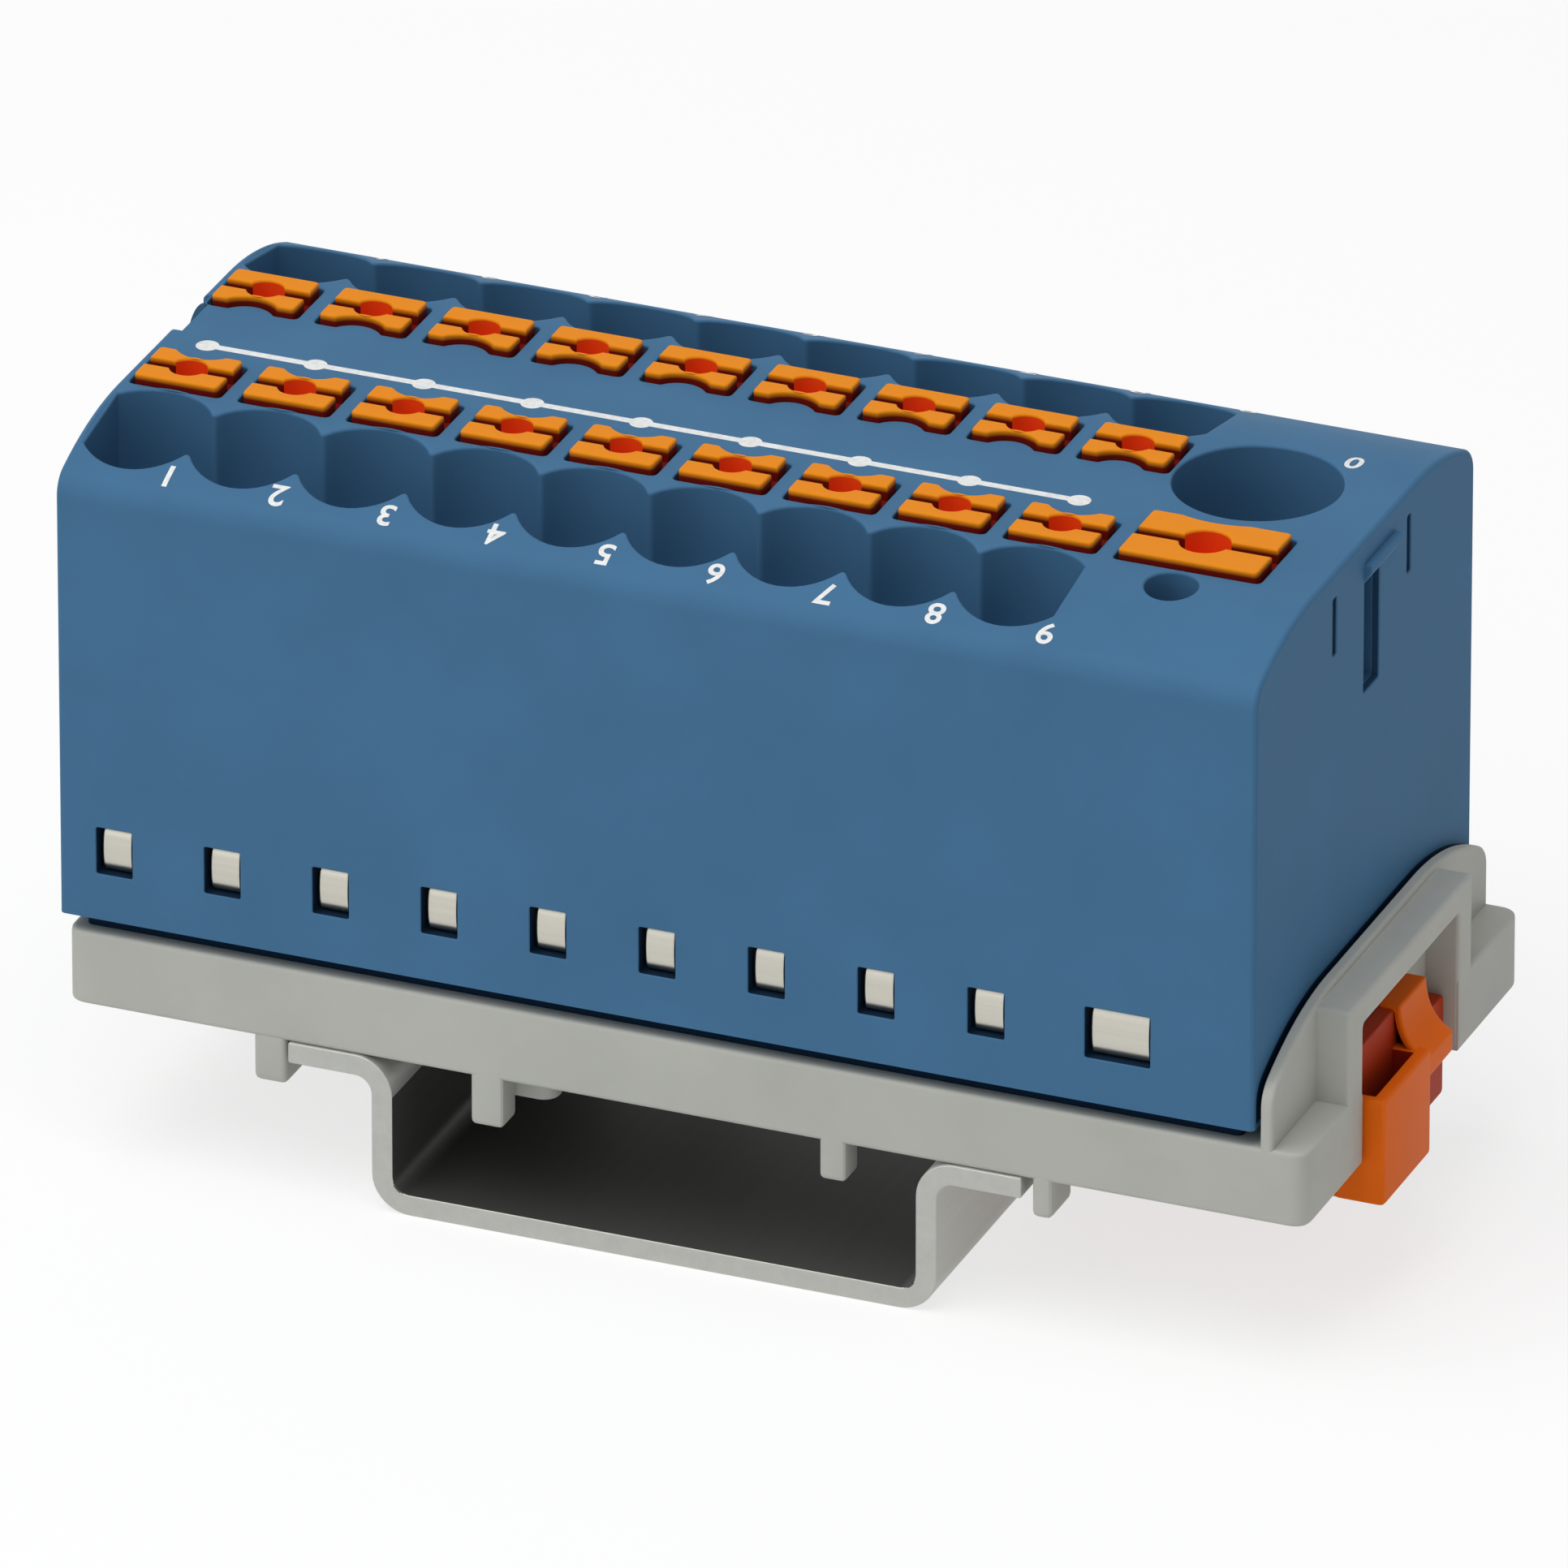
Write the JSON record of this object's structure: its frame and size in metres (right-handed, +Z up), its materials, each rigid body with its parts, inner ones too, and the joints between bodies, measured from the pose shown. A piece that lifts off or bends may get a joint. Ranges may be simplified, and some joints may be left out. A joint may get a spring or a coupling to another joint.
{
  "type": "power distribution block",
  "caption": "Push-in power distribution block on a rail adapter, with release buttons over sprung conductor clamps, a feed entry, a test hole and a sliding foot latch.",
  "frame": {"origin": "middle of the rail section's underside", "axes": "+X along the rows of ports towards the foot latch, +Y from the front face to the rear face, +Z up"},
  "size_m": [0.0602, 0.0264, 0.0353],
  "materials": {
    "housing_plastic": "moulded polyamide, fine satin",
    "adapter_plastic": "moulded polyamide, satin",
    "latch_plastic": "moulded polyamide, satin",
    "button_plastic": "moulded polyamide, satin",
    "rail_steel": "zinc plated and passivated",
    "tinned_metal": "tin plated copper",
    "spring_steel": "spring steel strip"
  },
  "bodies": {
    "block": {"housing": "housing_plastic", "current_bar": "tinned_metal", "base_adapter": "adapter_plastic", "din_rail_section": "rail_steel", "feed_clamp_spring": "spring_steel", "clamp_spring_f1": "spring_steel", "clamp_spring_f2": "spring_steel", "clamp_spring_f3": "spring_steel", "clamp_spring_f4": "spring_steel", "clamp_spring_f5": "spring_steel", "clamp_spring_f6": "spring_steel", "clamp_spring_f7": "spring_steel", "clamp_spring_f8": "spring_steel", "clamp_spring_f9": "spring_steel", "clamp_spring_r1": "spring_steel", "clamp_spring_r2": "spring_steel", "clamp_spring_r3": "spring_steel", "clamp_spring_r4": "spring_steel", "clamp_spring_r5": "spring_steel", "clamp_spring_r6": "spring_steel", "clamp_spring_r7": "spring_steel", "clamp_spring_r8": "spring_steel", "clamp_spring_r9": "spring_steel"},
    "button_f1": {"release_button_f1": "button_plastic"},
    "button_f2": {"release_button_f2": "button_plastic"},
    "button_f3": {"release_button_f3": "button_plastic"},
    "button_f4": {"release_button_f4": "button_plastic"},
    "button_f5": {"release_button_f5": "button_plastic"},
    "button_f6": {"release_button_f6": "button_plastic"},
    "button_f7": {"release_button_f7": "button_plastic"},
    "button_f8": {"release_button_f8": "button_plastic"},
    "button_f9": {"release_button_f9": "button_plastic"},
    "button_r1": {"release_button_r1": "button_plastic"},
    "button_r2": {"release_button_r2": "button_plastic"},
    "button_r3": {"release_button_r3": "button_plastic"},
    "button_r4": {"release_button_r4": "button_plastic"},
    "button_r5": {"release_button_r5": "button_plastic"},
    "button_r6": {"release_button_r6": "button_plastic"},
    "button_r7": {"release_button_r7": "button_plastic"},
    "button_r8": {"release_button_r8": "button_plastic"},
    "button_r9": {"release_button_r9": "button_plastic"},
    "button_feed": {"feed_release_button": "button_plastic"},
    "latch": {"foot_latch": "latch_plastic"}
  },
  "joints": [
    {"name": "release_f1", "type": "slide", "parent": "block", "child": "button_f1", "axis": [0, 0, -1], "range_m": [0, 0.0015], "stiffness_N_per_m": 3000, "springref_m": -0.0005, "deforming": ["clamp_spring_f1"]},
    {"name": "release_f2", "type": "slide", "parent": "block", "child": "button_f2", "axis": [0, 0, -1], "range_m": [0, 0.0015], "stiffness_N_per_m": 3000, "springref_m": -0.0005, "deforming": ["clamp_spring_f2"]},
    {"name": "release_f3", "type": "slide", "parent": "block", "child": "button_f3", "axis": [0, 0, -1], "range_m": [0, 0.0015], "stiffness_N_per_m": 3000, "springref_m": -0.0005, "deforming": ["clamp_spring_f3"]},
    {"name": "release_f4", "type": "slide", "parent": "block", "child": "button_f4", "axis": [0, 0, -1], "range_m": [0, 0.0015], "stiffness_N_per_m": 3000, "springref_m": -0.0005, "deforming": ["clamp_spring_f4"]},
    {"name": "release_f5", "type": "slide", "parent": "block", "child": "button_f5", "axis": [0, 0, -1], "range_m": [0, 0.0015], "stiffness_N_per_m": 3000, "springref_m": -0.0005, "deforming": ["clamp_spring_f5"]},
    {"name": "release_f6", "type": "slide", "parent": "block", "child": "button_f6", "axis": [0, 0, -1], "range_m": [0, 0.0015], "stiffness_N_per_m": 3000, "springref_m": -0.0005, "deforming": ["clamp_spring_f6"]},
    {"name": "release_f7", "type": "slide", "parent": "block", "child": "button_f7", "axis": [0, 0, -1], "range_m": [0, 0.0015], "stiffness_N_per_m": 3000, "springref_m": -0.0005, "deforming": ["clamp_spring_f7"]},
    {"name": "release_f8", "type": "slide", "parent": "block", "child": "button_f8", "axis": [0, 0, -1], "range_m": [0, 0.0015], "stiffness_N_per_m": 3000, "springref_m": -0.0005, "deforming": ["clamp_spring_f8"]},
    {"name": "release_f9", "type": "slide", "parent": "block", "child": "button_f9", "axis": [0, 0, -1], "range_m": [0, 0.0015], "stiffness_N_per_m": 3000, "springref_m": -0.0005, "deforming": ["clamp_spring_f9"]},
    {"name": "release_r1", "type": "slide", "parent": "block", "child": "button_r1", "axis": [0, 0, -1], "range_m": [0, 0.0015], "stiffness_N_per_m": 3000, "springref_m": -0.0005, "deforming": ["clamp_spring_r1"]},
    {"name": "release_r2", "type": "slide", "parent": "block", "child": "button_r2", "axis": [0, 0, -1], "range_m": [0, 0.0015], "stiffness_N_per_m": 3000, "springref_m": -0.0005, "deforming": ["clamp_spring_r2"]},
    {"name": "release_r3", "type": "slide", "parent": "block", "child": "button_r3", "axis": [0, 0, -1], "range_m": [0, 0.0015], "stiffness_N_per_m": 3000, "springref_m": -0.0005, "deforming": ["clamp_spring_r3"]},
    {"name": "release_r4", "type": "slide", "parent": "block", "child": "button_r4", "axis": [0, 0, -1], "range_m": [0, 0.0015], "stiffness_N_per_m": 3000, "springref_m": -0.0005, "deforming": ["clamp_spring_r4"]},
    {"name": "release_r5", "type": "slide", "parent": "block", "child": "button_r5", "axis": [0, 0, -1], "range_m": [0, 0.0015], "stiffness_N_per_m": 3000, "springref_m": -0.0005, "deforming": ["clamp_spring_r5"]},
    {"name": "release_r6", "type": "slide", "parent": "block", "child": "button_r6", "axis": [0, 0, -1], "range_m": [0, 0.0015], "stiffness_N_per_m": 3000, "springref_m": -0.0005, "deforming": ["clamp_spring_r6"]},
    {"name": "release_r7", "type": "slide", "parent": "block", "child": "button_r7", "axis": [0, 0, -1], "range_m": [0, 0.0015], "stiffness_N_per_m": 3000, "springref_m": -0.0005, "deforming": ["clamp_spring_r7"]},
    {"name": "release_r8", "type": "slide", "parent": "block", "child": "button_r8", "axis": [0, 0, -1], "range_m": [0, 0.0015], "stiffness_N_per_m": 3000, "springref_m": -0.0005, "deforming": ["clamp_spring_r8"]},
    {"name": "release_r9", "type": "slide", "parent": "block", "child": "button_r9", "axis": [0, 0, -1], "range_m": [0, 0.0015], "stiffness_N_per_m": 3000, "springref_m": -0.0005, "deforming": ["clamp_spring_r9"]},
    {"name": "release_feed", "type": "slide", "parent": "block", "child": "button_feed", "axis": [0, 0, -1], "range_m": [0, 0.0015], "stiffness_N_per_m": 4000, "springref_m": -0.0005, "deforming": ["feed_clamp_spring"]},
    {"name": "latch_slide", "type": "slide", "parent": "block", "child": "latch", "axis": [1, 0, 0], "range_m": [0, 0.002], "stiffness_N_per_m": 4000, "springref_m": -0.0005}
  ]
}
